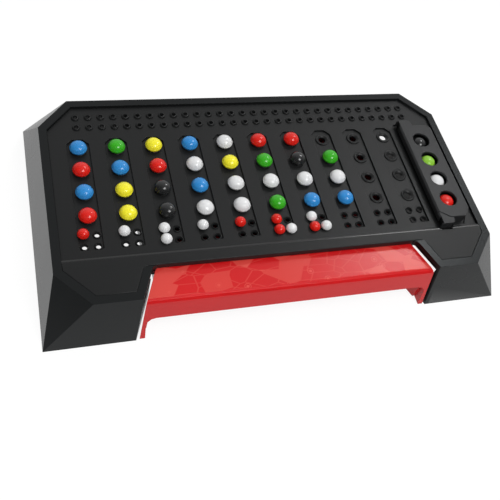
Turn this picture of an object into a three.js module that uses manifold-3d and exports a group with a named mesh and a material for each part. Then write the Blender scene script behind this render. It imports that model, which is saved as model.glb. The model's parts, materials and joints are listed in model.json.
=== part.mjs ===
// Code breaking peg game: a flared console with a peg deck, a sliding drawer, a hinged code cover and its pegs.
// Units are millimetres, +Z is up, and the origin is the middle of the footprint on the table.

import * as THREE from "three";
import Module from "manifold-3d";
import { ConvexGeometry } from "three/addons/geometries/ConvexGeometry.js";
import { mergeVertices } from "three/addons/utils/BufferGeometryUtils.js";

const wasm = await Module();
wasm.setup();

// Board layout across the width, from the left edge of the top to the right
const leftMargin = 19.3;
const columnCount = 10;
const columnPitch = 20;
const coverOffset = 10.5;
const hingeToWindow = 5.1;
const windowToEdge = 5.1;
const coverMargin = 8.1;

// Board layout along the depth, from the front edge of the top to the back
const shoulderDepth = 25.3;
const creaseToKeys = 10.9;
const keysToRows = 13.9;
const rowCount = 4;
const rowPitch = 14.6;
const rowsToStorage = 15.2;
const storageRowPitch = 7.1;
const backMargin = 11.4;

// Console casing
const caseHeight = 31.4;
const sideFlare = 7.8;
const frontFlare = 5.9;
const backFlare = 7.4;
const frontCornerWidth = 16.2;
const frontCornerDepth = 17.9;
const backCornerWidth = 16.3;
const backCornerDepth = 18.5;
const caseWall = 2.2;
const rimWidth = 4.3;
const deckSeam = 0.3;
const ledgeReach = 2.5;

// Clearances, and the overrun of every cut
const seatGap = 0.3;
const runningGap = 0.4;
const cutOverrun = 1;

// Drawer bay in the front of the casing
const lipSetback = 18.1;
const notchSplay = 7.3;
const bayCornerRadius = 3;
const sideSlotFoot = 19;
const railOutset = 1.65;
const railSideGap = 1.1;

// Peg deck, whose panel of holes is sunk behind the crease
const deckThickness = 3.6;
const panelStep = 1.5;
const pocketDepth = 1;
const pocketHalfWidth = 5.85;
const pocketBackReach = 6.9;
const pocketFrontReach = 5.6;
const pocketChamfer = 3.2;
const collarHeight = 0.7;
const codeCollarDiameter = 8.2;
const keyCollarDiameter = 4.3;
const keySpacing = 6.66;
const storageCollarDiameter = 4.3;
const storageCollarHeight = 0.5;
const storageCount = 30;
const storageLeftMargin = 19.8;
const storageRightMargin = 21;
const partitionOffset = 4.9;
const partitionThickness = 1.6;
const partitionLift = 1.5;

// Pegs
const codeHeadDiameter = 9.1;
const codeHeadHeight = 4.6;
const codeShankDiameter = 3.9;
const codeShankLength = 11.5;
const keyHeadDiameter = 6.2;
const keyHeadHeight = 3.6;
const keyShankDiameter = 2.3;
const keyShankLength = 9;
const shankGap = 0.3;

// Code cover and its hinge
const coverHeight = 3.3;
const coverPlate = 1.6;
const coverSkirt = 1.6;
const coverGap = 0.6;
const coverShift = 8;
const windowGap = 0.55;
const windowToBack = 11.7;
const windowToFront = 12.8;
const backChamfer = 2.5;
const frontChamferWidth = 3.9;
const frontChamferDepth = 5.4;
const earWidth = 8.5;
const earCorner = 2.4;
const backEarLength = 4.5;
const frontEarLength = 3.8;
const frontEarDrop = 0.8;
const nailNotchDepth = 1.5;
const barrelWidth = 4.8;
const barrelChamfer = 0.9;
const barrelFootChamfer = 1.2;
const barrelSlot = 0.9;
const hingePinDiameter = 1.6;
const hingePinInset = 0.6;
const lugDiameter = 3;
const lugPostWidth = 2.2;
const lugLength = 3;
const lugBackInset = 1.2;
const lugFrontInset = 1.2;

// Drawer
const drawerGap = 1.5;
const drawerTopGap = 0.6;
const drawerFaceGap = 0.4;
const drawerWall = 2;
const drawerNoseRadius = 3;
const drawerFootGap = 0.3;
const archHeight = 15;
const archLegWidth = 2.8;
const archFillet = 5;
const hoodReach = 5;
const trayLift = 1.5;
const trayHeadroom = 1.7;
const trayLength = 100;
const trayFlange = 3.1;
const trayFlangeThickness = 1.8;
const railWeb = 2;
const railLedge = 2;
const railBackGap = 0.6;

// Sides of the round forms
const pegSides = 12;
const keyPegSides = 10;
const codeHoleSides = 8;
const codeCollarSides = 8;
const smallHoleSides = 6;
const windowSides = 12;
const lugSteps = 6;
const filletSteps = 3;

// Sizes that follow from the layout
const windowDiameter = codeHeadDiameter + 2 * windowGap;
const coverWidth = hingeToWindow + windowDiameter + windowToEdge;
const topWidth = leftMargin + (columnCount - 1) * columnPitch + coverOffset + coverWidth + coverMargin;
const rowsDepth = (rowCount - 1) * rowPitch;
const frontDepth = shoulderDepth + creaseToKeys + keysToRows;
const topDepth = frontDepth + rowsDepth + rowsToStorage + storageRowPitch + backMargin;
const baseWidth = topWidth + 2 * sideFlare;
const baseDepth = topDepth + frontFlare + backFlare;
const topFrontY = -baseDepth / 2 + frontFlare;
const firstColumnX = -topWidth / 2 + leftMargin;
const lastColumnX = firstColumnX + (columnCount - 1) * columnPitch;
const creaseY = topFrontY + shoulderDepth;
const keyRowY = creaseY + creaseToKeys;
const frontRowY = keyRowY + keysToRows;
const backRowY = frontRowY + rowsDepth;
const storageFrontY = backRowY + rowsToStorage;
const deckTop = caseHeight;
const deckBottom = deckTop - deckThickness;
const ledgeTop = deckBottom - seatGap;
const ledgeBottom = ledgeTop - caseWall;
const panelTop = deckTop - panelStep;
const pocketFloor = panelTop - pocketDepth;
const collarTop = pocketFloor + collarHeight;
const pegSeat = collarTop + seatGap;
const codeHoleDiameter = codeShankDiameter + 2 * shankGap;
const keyHoleDiameter = keyShankDiameter + 2 * shankGap;

// The drawer runs between the guide rails, which pass between two columns of holes
const secondColumnX = firstColumnX + columnPitch;
const railOuterX = -secondColumnX - keySpacing / 2 - keyHoleDiameter / 2 - railSideGap;
const notchHalfBack = railOuterX - railOutset;
const lipY = topFrontY + lipSetback;
const notchSlope = notchSplay / lipSetback;
const trayTop = pegSeat - codeShankLength - trayHeadroom;
const hoodTop = deckBottom - drawerTopGap;
const hoodBackY = lipY + hoodReach;
const trayFrontY = hoodBackY + seatGap;
const trayBackY = trayFrontY + trayLength;
const trayHalf = railOuterX - railWeb - runningGap - trayFlange;

// The cover lies over the secret code row, with its hinge barrel along the left edge
const coverLeftX = lastColumnX + coverOffset;
const coverRightX = coverLeftX + coverWidth;
const coverTop = deckTop + coverHeight;
const windowX = coverLeftX + hingeToWindow + windowDiameter / 2;
const backWindowY = backRowY - coverShift;
const coverBackY = backWindowY + windowToBack;
const coverFrontY = backWindowY - rowsDepth - windowToFront;
const backEarY = coverBackY + backEarLength;
const frontEarY = coverFrontY - frontEarLength;
const hingeX = coverLeftX + barrelWidth / 2;
const hingeZ = coverTop - barrelWidth / 2;
const pinBore = hingePinDiameter + 2 * shankGap;
const coverFloor = pocketFloor + seatGap;

// Materials
const paint = (hex, roughness) => new THREE.MeshStandardMaterial({ color: hex, roughness, metalness: 0 });
const blackCase = paint(0x2b2d2e, 0.42);
const blackDeck = paint(0x303233, 0.45);
const blackCover = paint(0x393b3d, 0.4);
const redDrawer = paint(0xcf2428, 0.3);
const steel = new THREE.MeshStandardMaterial({ color: 0xb9bcc0, roughness: 0.25, metalness: 1 });
const pegPaint = {
  blue: paint(0x2f6fc4, 0.18),
  red: paint(0xc81a20, 0.18),
  green: paint(0x2d9a40, 0.18),
  yellow: paint(0xf2e325, 0.18),
  white: paint(0xe9e9e9, 0.18),
  black: paint(0x232526, 0.18),
  lime: paint(0x86c440, 0.18),
};

// Turns a closed geometry into a solid that can be joined and cut
function solidOf(geometry) {
  geometry.deleteAttribute("normal");
  geometry.deleteAttribute("uv");
  const merged = mergeVertices(geometry);
  const mesh = new wasm.Mesh({
    numProp: 3,
    vertProperties: new Float32Array(merged.attributes.position.array),
    triVerts: new Uint32Array(merged.index.array),
  });
  return new wasm.Manifold(mesh);
}

// Gives a solid back as a named mesh
function meshOf(name, solid, material) {
  const data = solid.getMesh();
  const geometry = new THREE.BufferGeometry();
  geometry.setAttribute("position", new THREE.BufferAttribute(data.vertProperties, 3));
  geometry.setIndex(new THREE.BufferAttribute(data.triVerts, 1));
  geometry.computeVertexNormals();
  const mesh = new THREE.Mesh(geometry, material);
  mesh.name = name;
  return mesh;
}

// A flat outline raised from one height to another
function prism(outline, low, high) {
  const shape = new THREE.Shape(outline.map(([x, y]) => new THREE.Vector2(x, y)));
  const geometry = new THREE.ExtrudeGeometry(shape, { depth: high - low, bevelEnabled: false });
  return solidOf(geometry.translate(0, 0, low));
}

// A section in x and z carried along y
function barAlongY(section, from, to) {
  const shape = new THREE.Shape(section.map(([x, z]) => new THREE.Vector2(x, z)));
  const geometry = new THREE.ExtrudeGeometry(shape, { depth: to - from, bevelEnabled: false });
  return solidOf(geometry.rotateX(Math.PI / 2).translate(0, to, 0));
}

// A section in y and z carried along x
function barAlongX(section, from, to) {
  const shape = new THREE.Shape(section.map(([y, z]) => new THREE.Vector2(y, z)));
  const geometry = new THREE.ExtrudeGeometry(shape, { depth: to - from, bevelEnabled: false });
  const turn = new THREE.Matrix4().makeBasis(
    new THREE.Vector3(0, 1, 0),
    new THREE.Vector3(0, 0, 1),
    new THREE.Vector3(1, 0, 0),
  );
  return solidOf(geometry.applyMatrix4(turn).translate(from, 0, 0));
}

function box(low, high) {
  const outline = [[low[0], low[1]], [high[0], low[1]], [high[0], high[1]], [low[0], high[1]]];
  return prism(outline, low[2], high[2]);
}

// An upright drum, with a flat side towards +X
function drum(diameter, sides, x, y, low, high) {
  const geometry = new THREE.CylinderGeometry(diameter / 2, diameter / 2, high - low, sides);
  return solidOf(geometry.rotateX(Math.PI / 2).translate(x, y, (low + high) / 2));
}

// A rod along y
function rod(diameter, sides, x, z, from, to) {
  const geometry = new THREE.CylinderGeometry(diameter / 2, diameter / 2, to - from, sides);
  return solidOf(geometry.translate(x, (from + to) / 2, z));
}

function join(solids) {
  return wasm.Manifold.union(solids);
}

// The casing's outline at a height: a rectangle at the foot whose corners widen into flats towards the top
function outlineAt(height) {
  const share = height / caseHeight;
  const side = baseWidth / 2 - sideFlare * share;
  const front = -baseDepth / 2 + frontFlare * share;
  const back = baseDepth / 2 - backFlare * share;
  const frontWidth = side - frontCornerWidth * share;
  const backWidth = side - backCornerWidth * share;
  const frontCorner = front + frontCornerDepth * share;
  const backCorner = back - backCornerDepth * share;
  return [
    [-frontWidth, front],
    [frontWidth, front],
    [side, frontCorner],
    [side, backCorner],
    [backWidth, back],
    [-backWidth, back],
    [-side, backCorner],
    [-side, frontCorner],
  ];
}

// Moves each side of a convex outline inwards, and takes the new corners where neighbours meet
function inset(outline, distance) {
  const lines = outline.map(([x, y], i) => {
    const [nextX, nextY] = outline[(i + 1) % outline.length];
    const length = Math.hypot(nextX - x, nextY - y);
    const normal = [-(nextY - y) / length, (nextX - x) / length];
    return { normal, reach: normal[0] * x + normal[1] * y + distance };
  });
  return lines.map((line, i) => {
    const previous = lines[(i + lines.length - 1) % lines.length];
    const [a, b] = previous.normal;
    const [c, d] = line.normal;
    const cross = a * d - b * c;
    return [(previous.reach * d - b * line.reach) / cross, (a * line.reach - previous.reach * c) / cross];
  });
}

function footprint(reach) {
  const x = baseWidth / 2 - reach;
  const y = baseDepth / 2 - reach;
  return [[-x, -y], [x, -y], [x, y], [-x, y]];
}

// A flared solid from a rectangle at the foot to the casing's outline at a height
function flared(reach, height) {
  const foot = footprint(reach).map(([x, y]) => new THREE.Vector3(x, y, 0));
  const head = (reach ? inset(outlineAt(height), reach) : outlineAt(height));
  return solidOf(new ConvexGeometry([...foot, ...head.map(([x, y]) => new THREE.Vector3(x, y, height))]));
}

// Half the drawer bay's width at a depth: it splays towards the front
function bayHalf(y) {
  return notchHalfBack + notchSlope * (lipY - y);
}

// The drawer bay's plan, widened by an outset on each side
function bayPlan(outset, backY) {
  const frontY = -baseDepth / 2 - cutOverrun;
  const front = bayHalf(frontY) + outset;
  const back = bayHalf(backY) + outset;
  return [[-front, frontY], [front, frontY], [back, backY], [-back, backY]];
}

// The bay's plan at the rim, where its two back corners are rounded
function roundedBayPlan(backY) {
  const [frontLeft, frontRight, backRight] = bayPlan(0, backY);
  const slant = Math.atan(notchSlope);
  const centreX = backRight[0] - bayCornerRadius / Math.cos(slant) + bayCornerRadius * notchSlope;
  const fillet = corner([centreX, backY - bayCornerRadius], bayCornerRadius, slant, Math.PI / 2);
  const mirrored = fillet.map(([x, y]) => [-x, y]).reverse();
  return [frontLeft, frontRight, ...fillet, ...mirrored];
}

// The slots in the bay's two side walls: they lie under the rim and run from the front wall to the lip
function sideSlots() {
  const frontY = topFrontY + caseWall / 2;
  const around = prism(bayPlan(rimWidth + ledgeReach + seatGap, lipY), sideSlotFoot, hoodTop);
  return around.intersect(box([-baseWidth, frontY, 0], [baseWidth, lipY, caseHeight]));
}

// Open-bottomed casing: flared walls, the rim, the ledge that carries the deck, and the drawer bay's two sides
function makeCasing() {
  const outer = flared(0, caseHeight);
  const topOutline = outlineAt(caseHeight);
  const ledgeInset = rimWidth + ledgeReach;
  const hollow = join([
    flared(caseWall, ledgeBottom),
    prism(footprint(caseWall), -cutOverrun, 0),
    prism(inset(topOutline, ledgeInset), ledgeBottom - cutOverrun, caseHeight + cutOverrun),
    prism(inset(topOutline, rimWidth), ledgeTop, caseHeight + cutOverrun),
  ]);
  const sideEnd = lipY - deckSeam;
  const baySides = join([
    prism(bayPlan(caseWall, sideEnd), 0, ledgeTop),
    prism(bayPlan(rimWidth + ledgeReach, sideEnd), ledgeBottom, ledgeTop),
    prism(bayPlan(rimWidth, sideEnd), ledgeBottom, caseHeight),
  ]).intersect(outer);
  const bay = join([
    prism(bayPlan(0, lipY), -cutOverrun, ledgeTop),
    prism(roundedBayPlan(sideEnd), 0, caseHeight + cutOverrun),
    sideSlots(),
  ]);
  return outer.subtract(hollow).add(baySides).subtract(bay);
}

// Places of the holes
function columnX(column) {
  return firstColumnX + column * columnPitch;
}

function rowY(row) {
  return backRowY - row * rowPitch;
}

function keyPlace(column, key) {
  const right = key % 2 ? -1 : 1;
  const back = key < 2 ? 1 : -1;
  return [columnX(column) + (right * keySpacing) / 2, keyRowY + (back * keySpacing) / 2];
}

function secretY(row) {
  return backWindowY - row * rowPitch;
}

// The shallow pocket round one column, with its back corners cut off
function columnPocket(column) {
  const x = columnX(column);
  const left = x - pocketHalfWidth;
  const right = x + pocketHalfWidth;
  const front = keyRowY - pocketFrontReach;
  const back = backRowY + pocketBackReach;
  const outline = [
    [left, front],
    [right, front],
    [right, back - pocketChamfer],
    [right - pocketChamfer, back],
    [left + pocketChamfer, back],
    [left, back - pocketChamfer],
  ];
  return prism(outline, pocketFloor, deckTop + cutOverrun);
}

// The cover's plan, grown by a clearance: a long plate with two round-cornered ears at its hinge side
function coverPlan(clearance, leftX) {
  const left = leftX - clearance;
  const right = coverRightX + clearance;
  const front = coverFrontY - clearance;
  const back = coverBackY + clearance;
  const ear = coverLeftX + earWidth + clearance;
  const radius = earCorner + clearance;
  const frontEnd = frontEarY - clearance;
  const backEnd = backEarY + clearance;
  return [
    [left, frontEnd],
    ...corner([ear - radius, frontEnd + radius], radius, -Math.PI / 2, 0),
    [ear, front],
    [right - frontChamferWidth, front],
    [right, front + frontChamferDepth],
    [right, back - backChamfer],
    [right - backChamfer, back],
    [ear, back],
    ...corner([ear - radius, backEnd - radius], radius, 0, Math.PI / 2),
    [left, backEnd],
  ];
}

// The bay in the deck that the cover closes, with a slot for its hinge side and a notch for a fingernail
function coverBay() {
  const around = prism(coverPlan(coverGap, coverLeftX - barrelSlot), pocketFloor, deckTop + cutOverrun);
  const nailNotch = box(
    [coverLeftX + earWidth, coverFrontY - coverGap - nailNotchDepth, pocketFloor],
    [coverRightX - frontChamferWidth, coverFrontY, deckTop + cutOverrun],
  );
  return around.add(nailNotch);
}

function lugPlaces() {
  return [frontEarY + lugFrontInset, backEarY - lugBackInset - lugLength];
}

// A lug that stands on the deck: a post with a round head that holds the hinge pin
function hingeLug(from) {
  const post = lugPostWidth / 2;
  const shoulder = -Math.acos(lugPostWidth / lugDiameter);
  const section = [[hingeX - post, deckBottom], [hingeX + post, deckBottom]];
  for (let step = 0; step <= lugSteps; step += 1) {
    const turn = shoulder + (step / lugSteps) * (Math.PI - 2 * shoulder);
    section.push([hingeX + (lugDiameter / 2) * Math.cos(turn), hingeZ + (lugDiameter / 2) * Math.sin(turn)]);
  }
  return barAlongY(section, from, from + lugLength);
}

// The wall under the deck that screens the shanks of the secret row from the last column's holes
function partition() {
  const left = lastColumnX + partitionOffset;
  return box(
    [left, keyRowY - pocketFrontReach, partitionLift],
    [left + partitionThickness, backRowY, deckBottom + seatGap],
  );
}

// Peg deck: the plate with its pockets, collared holes, storage strip, cover bay, partition and hinge lugs
function makeDeck() {
  const plateOutline = inset(outlineAt(caseHeight), rimWidth + deckSeam);
  const plate = prism(plateOutline, deckBottom, deckTop);
  const bay = prism(bayPlan(rimWidth + deckSeam, lipY), deckBottom - cutOverrun, deckTop + cutOverrun);
  const sunkPanel = box([-baseWidth, creaseY, panelTop], [baseWidth, baseDepth, deckTop + cutOverrun]);
  const pockets = [sunkPanel, coverBay()];
  const collars = [];
  const holes = [];
  const through = (diameter, sides, x, y) => {
    holes.push(drum(diameter, sides, x, y, deckBottom - deckThickness, deckTop + cutOverrun));
  };
  const codeHole = (x, y) => {
    collars.push(drum(codeCollarDiameter, codeCollarSides, x, y, deckBottom, collarTop));
    through(codeHoleDiameter, codeHoleSides, x, y);
  };
  for (let column = 0; column < columnCount; column += 1) {
    pockets.push(columnPocket(column));
    for (let row = 0; row < rowCount; row += 1) codeHole(columnX(column), rowY(row));
    for (let key = 0; key < 4; key += 1) {
      const [x, y] = keyPlace(column, key);
      collars.push(drum(keyCollarDiameter, smallHoleSides, x, y, deckBottom, collarTop));
      through(keyHoleDiameter, smallHoleSides, x, y);
    }
  }
  const storagePitch = (topWidth - storageLeftMargin - storageRightMargin) / (storageCount - 1);
  for (let place = 0; place < storageCount; place += 1) {
    const x = -topWidth / 2 + storageLeftMargin + place * storagePitch;
    for (const y of [storageFrontY, storageFrontY + storageRowPitch]) {
      collars.push(drum(storageCollarDiameter, smallHoleSides, x, y, deckBottom, panelTop + storageCollarHeight));
      through(keyHoleDiameter, smallHoleSides, x, y);
    }
  }
  for (let row = 0; row < rowCount; row += 1) codeHole(windowX, secretY(row));
  const lugBore = rod(pinBore, codeHoleSides, hingeX, hingeZ, frontEarY, backEarY);
  const lugs = join(lugPlaces().map(hingeLug)).subtract(lugBore);
  const raised = join([plate.subtract(bay).subtract(join(pockets)), ...collars]);
  return raised.subtract(join(holes)).add(join([lugs, partition()]));
}

// The barrel's section: square to the plate above, with both sides of its foot cut back so that it can turn
function barrelSection() {
  const left = coverLeftX;
  const right = coverLeftX + barrelWidth;
  const foot = coverFloor + seatGap;
  return [
    [left + barrelFootChamfer, foot],
    [right - barrelFootChamfer, foot],
    [right, foot + barrelFootChamfer],
    [right, coverTop],
    [left + barrelChamfer, coverTop],
    [left, coverTop - barrelChamfer],
    [left, foot + barrelFootChamfer],
  ];
}

// Code cover: a windowed plate with skirts and ears, and a hinge barrel along its left edge
function makeCover() {
  const block = prism(coverPlan(0, hingeX), coverFloor, coverTop);
  const hollow = prism(coverPlan(-coverSkirt, hingeX - coverSkirt), coverFloor - cutOverrun, coverTop - coverPlate);
  const barrel = barAlongY(barrelSection(), frontEarY, backEarY);
  const cuts = [
    rod(pinBore, codeHoleSides, hingeX, hingeZ, frontEarY - cutOverrun, backEarY - hingePinInset + seatGap),
    box(
      [coverLeftX - cutOverrun, frontEarY - cutOverrun, coverTop - frontEarDrop],
      [coverLeftX + earWidth + cutOverrun, coverFrontY, coverTop + cutOverrun],
    ),
  ];
  for (let row = 0; row < rowCount; row += 1) {
    cuts.push(drum(windowDiameter, windowSides, windowX, secretY(row), coverFloor, coverTop + cutOverrun));
  }
  for (const from of lugPlaces()) {
    cuts.push(box(
      [coverLeftX - cutOverrun, from - runningGap, coverFloor - cutOverrun],
      [hingeX + lugDiameter / 2 + runningGap, from + lugLength + runningGap, hingeZ + lugDiameter / 2 + runningGap],
    ));
  }
  return block.subtract(hollow).add(barrel).subtract(join(cuts));
}

function makeHingePin() {
  return rod(hingePinDiameter, codeHoleSides, hingeX, hingeZ, frontEarY + hingePinInset, backEarY - hingePinInset);
}

// A rounded corner between two directions, as points
function corner(centre, radius, startTurn, endTurn) {
  const points = [];
  for (let step = 0; step <= filletSteps; step += 1) {
    const turn = startTurn + ((endTurn - startTurn) * step) / filletSteps;
    points.push([centre[0] + radius * Math.cos(turn), centre[1] + radius * Math.sin(turn)]);
  }
  return points;
}

// The depth of the drawer's leaning face at a height
function faceY(height) {
  const share = height / caseHeight;
  return -baseDepth / 2 + drawerFaceGap + frontFlare * share;
}

// The drawer front's plan, which follows the splay of the bay
function hoodPlan(reach) {
  const frontY = -baseDepth / 2 - cutOverrun;
  const backY = hoodBackY - reach;
  const front = bayHalf(frontY) - drawerGap - reach;
  const back = bayHalf(backY) - drawerGap - reach;
  return [[-front, frontY], [front, frontY], [back, backY], [-back, backY]];
}

// Drawer front: a hood open below, with a rounded nose and a wide finger arch between two legs
function makeDrawerFront() {
  const width = baseWidth / 2;
  const noseY = faceY(hoodTop) + drawerNoseRadius;
  const noseZ = hoodTop - drawerNoseRadius;
  const face = [
    [hoodBackY, drawerFootGap],
    [hoodBackY, hoodTop],
    ...corner([noseY, noseZ], drawerNoseRadius, Math.PI / 2, Math.PI),
    [faceY(drawerFootGap), drawerFootGap],
  ];
  const innerTop = hoodTop - drawerWall;
  const inner = [
    [hoodBackY - drawerWall, -cutOverrun],
    [hoodBackY - drawerWall, innerTop],
    [faceY(innerTop) + drawerWall + drawerNoseRadius / 2, innerTop],
    [faceY(noseZ) + drawerWall, noseZ - drawerNoseRadius / 2],
    [faceY(-cutOverrun) + drawerWall, -cutOverrun],
  ];
  const hood = barAlongX(face, -width, width).intersect(prism(hoodPlan(0), 0, caseHeight));
  const hollow = barAlongX(inner, -width, width).intersect(prism(hoodPlan(drawerWall), -caseHeight, caseHeight));
  const archHalf = bayHalf(faceY(0)) - drawerGap - archLegWidth;
  const arch = [
    [-archHalf, -cutOverrun],
    [archHalf, -cutOverrun],
    ...corner([archHalf - archFillet, archHeight - archFillet], archFillet, 0, Math.PI / 2),
    ...corner([archFillet - archHalf, archHeight - archFillet], archFillet, Math.PI / 2, Math.PI),
  ];
  const fingerArch = barAlongY(arch, -baseDepth, topFrontY);
  const backFoot = box(
    [-width, hoodBackY - drawerWall - cutOverrun, -cutOverrun],
    [width, hoodBackY + cutOverrun, trayLift],
  );
  return hood.subtract(join([hollow, fingerArch, backFoot]));
}

// Drawer tray: an open box with a flange along each side that runs on the rails
function makeTray() {
  const outer = box([-trayHalf, trayFrontY, trayLift], [trayHalf, trayBackY, trayTop]);
  const inner = box(
    [drawerWall - trayHalf, trayFrontY + drawerWall, trayLift + drawerWall],
    [trayHalf - drawerWall, trayBackY - drawerWall, trayTop + cutOverrun],
  );
  const flangeHalf = trayHalf + trayFlange;
  const flange = box([-flangeHalf, trayFrontY, trayTop - trayFlangeThickness], [flangeHalf, trayBackY, trayTop]);
  return join([outer, flange]).subtract(inner);
}

// Guide rail: an angle section under the deck whose ledge carries the tray's flange
function makeRail(side) {
  const ledgeZ = trayTop - trayFlangeThickness - seatGap;
  const ledgeX = trayHalf + runningGap;
  const section = [
    [ledgeX, ledgeZ - railLedge],
    [railOuterX, ledgeZ - railLedge],
    [railOuterX, deckBottom - seatGap],
    [railOuterX - railWeb, deckBottom - seatGap],
    [railOuterX - railWeb, ledgeZ],
    [ledgeX, ledgeZ],
  ];
  const ledgeBackY = topFrontY + topDepth - rimWidth - ledgeReach;
  return barAlongY(section.map(([x, z]) => [side * x, z]), trayFrontY + seatGap, ledgeBackY - railBackGap);
}

// A peg turned on its axis: a domed head that tucks in at its foot, over a straight shank
function pegForm(headDiameter, headHeight, shankDiameter, shankLength, sides, domeShares) {
  const radius = headDiameter / 2;
  const profile = [
    new THREE.Vector2(0, -shankLength),
    new THREE.Vector2(shankDiameter / 2, -shankLength),
    new THREE.Vector2(shankDiameter / 2, 0),
    ...domeShares.map(([out, up]) => new THREE.Vector2(out * radius, up * headHeight)),
    new THREE.Vector2(0, headHeight),
  ];
  const geometry = new THREE.LatheGeometry(profile, sides).rotateX(Math.PI / 2);
  geometry.deleteAttribute("normal");
  geometry.deleteAttribute("uv");
  return mergeVertices(geometry);
}

const codeDomeShares = [[0.92, 0], [1, 0.38], [0.64, 0.86]];
const keyDomeShares = [[1, 0.12], [0.76, 0.76]];
const codePeg = pegForm(
  codeHeadDiameter, codeHeadHeight, codeShankDiameter, codeShankLength, pegSides, codeDomeShares,
);
const keyPeg = pegForm(
  keyHeadDiameter, keyHeadHeight, keyShankDiameter, keyShankLength, keyPegSides, keyDomeShares,
);

function placePeg(name, form, colour, x, y, z) {
  const mesh = new THREE.Mesh(form, pegPaint[colour]);
  mesh.name = name;
  mesh.position.set(x, y, z);
  return mesh;
}

// Guesses in play, one line per column from left to right, each from the back row to the front
const guesses = [
  ["blue", "red", "blue", "red"],
  ["green", "blue", "yellow", "yellow"],
  ["yellow", "red", "black", "black"],
  ["blue", "white", "blue", "white"],
  ["white", "yellow", "white", "white"],
  ["red", "green", "white", "green"],
  ["red", "black", "white", "blue"],
  [null, "green", "white", "blue"],
];
// Answers to them: back right, back left, front right, front left
const answers = [
  [null, "red", null, null],
  [null, "white", null, null],
  [null, "white", null, "white"],
  [null, "white", null, null],
  [null, "red", null, null],
  [null, "red", "white", "red"],
  [null, "white", "white", "red"],
];
const secretCode = ["black", "lime", "white", "red"];
const keyNames = ["back_right", "back_left", "front_right", "front_left"];

const game = new THREE.Group();
game.add(meshOf("console_casing", makeCasing(), blackCase));
game.add(meshOf("peg_deck", makeDeck(), blackDeck));
game.add(meshOf("guide_rail_left", makeRail(-1), blackCase));
game.add(meshOf("guide_rail_right", makeRail(1), blackCase));
game.add(meshOf("drawer_front", makeDrawerFront(), redDrawer));
game.add(meshOf("drawer_tray", makeTray(), redDrawer));
game.add(meshOf("code_cover", makeCover(), blackCover));
game.add(meshOf("hinge_pin", makeHingePin(), steel));

guesses.forEach((colours, column) => {
  colours.forEach((colour, row) => {
    if (!colour) return;
    const name = `code_peg_c${column + 1}_r${row + 1}`;
    game.add(placePeg(name, codePeg, colour, columnX(column), rowY(row), pegSeat));
  });
});
answers.forEach((colours, column) => {
  colours.forEach((colour, key) => {
    if (!colour) return;
    const [x, y] = keyPlace(column, key);
    game.add(placePeg(`key_peg_c${column + 1}_${keyNames[key]}`, keyPeg, colour, x, y, pegSeat));
  });
});
secretCode.forEach((colour, row) => {
  const name = `secret_peg_r${row + 1}`;
  game.add(placePeg(name, codePeg, colour, windowX, secretY(row), pegSeat));
});

export default game;
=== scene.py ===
import json
import math

import bmesh
import bpy
from mathutils import Matrix, Vector


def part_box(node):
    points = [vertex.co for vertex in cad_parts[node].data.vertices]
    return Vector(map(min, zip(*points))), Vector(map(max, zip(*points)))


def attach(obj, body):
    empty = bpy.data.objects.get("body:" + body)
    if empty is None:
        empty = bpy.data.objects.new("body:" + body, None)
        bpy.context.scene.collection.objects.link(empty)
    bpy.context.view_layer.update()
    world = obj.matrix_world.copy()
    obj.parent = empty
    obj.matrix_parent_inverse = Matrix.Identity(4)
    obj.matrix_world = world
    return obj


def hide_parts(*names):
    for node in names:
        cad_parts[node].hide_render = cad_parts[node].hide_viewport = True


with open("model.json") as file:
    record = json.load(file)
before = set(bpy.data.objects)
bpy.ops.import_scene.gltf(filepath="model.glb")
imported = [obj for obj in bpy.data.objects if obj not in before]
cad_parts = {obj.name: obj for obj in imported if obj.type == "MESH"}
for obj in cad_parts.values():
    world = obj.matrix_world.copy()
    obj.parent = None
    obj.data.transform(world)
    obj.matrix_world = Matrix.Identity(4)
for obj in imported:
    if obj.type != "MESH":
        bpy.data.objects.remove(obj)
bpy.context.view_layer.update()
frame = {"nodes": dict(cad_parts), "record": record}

# Camera
# It stands to the left of the drawer, looks down on the deck and leans to one side.
camera_place = Vector((-0.12525, -0.21618, 0.31603))
camera_turn = math.radians(-30.70)
camera_elevation = math.radians(54.72)
camera_roll = math.radians(20.62)
camera_lens = 49.52
camera_sensor = 36.0


def add_camera():
    data = bpy.data.cameras.new("camera")
    data.lens = camera_lens
    data.sensor_width = camera_sensor
    data.sensor_fit = "HORIZONTAL"
    camera = bpy.data.objects.new("camera", data)
    turn = Matrix.Rotation(camera_turn, 4, "Z")
    tilt = Matrix.Rotation(math.pi / 2 - camera_elevation, 4, "X")
    roll = Matrix.Rotation(camera_roll, 4, "Z")
    camera.matrix_world = Matrix.Translation(camera_place) @ turn @ tilt @ roll
    bpy.context.scene.collection.objects.link(camera)
    bpy.context.scene.camera = camera
    bpy.context.scene.view_settings.view_transform = "Standard"


add_camera()

# Floor
# A wide white sheet under the console. Its own glow keeps it white, and the rest of its light leaves a soft
# shadow.
floor_reach = 3.0
floor_colour = (0.14, 0.14, 0.14, 1)
floor_glow = 0.89
bounce_colour = (0.80, 0.80, 0.80, 1)


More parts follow.
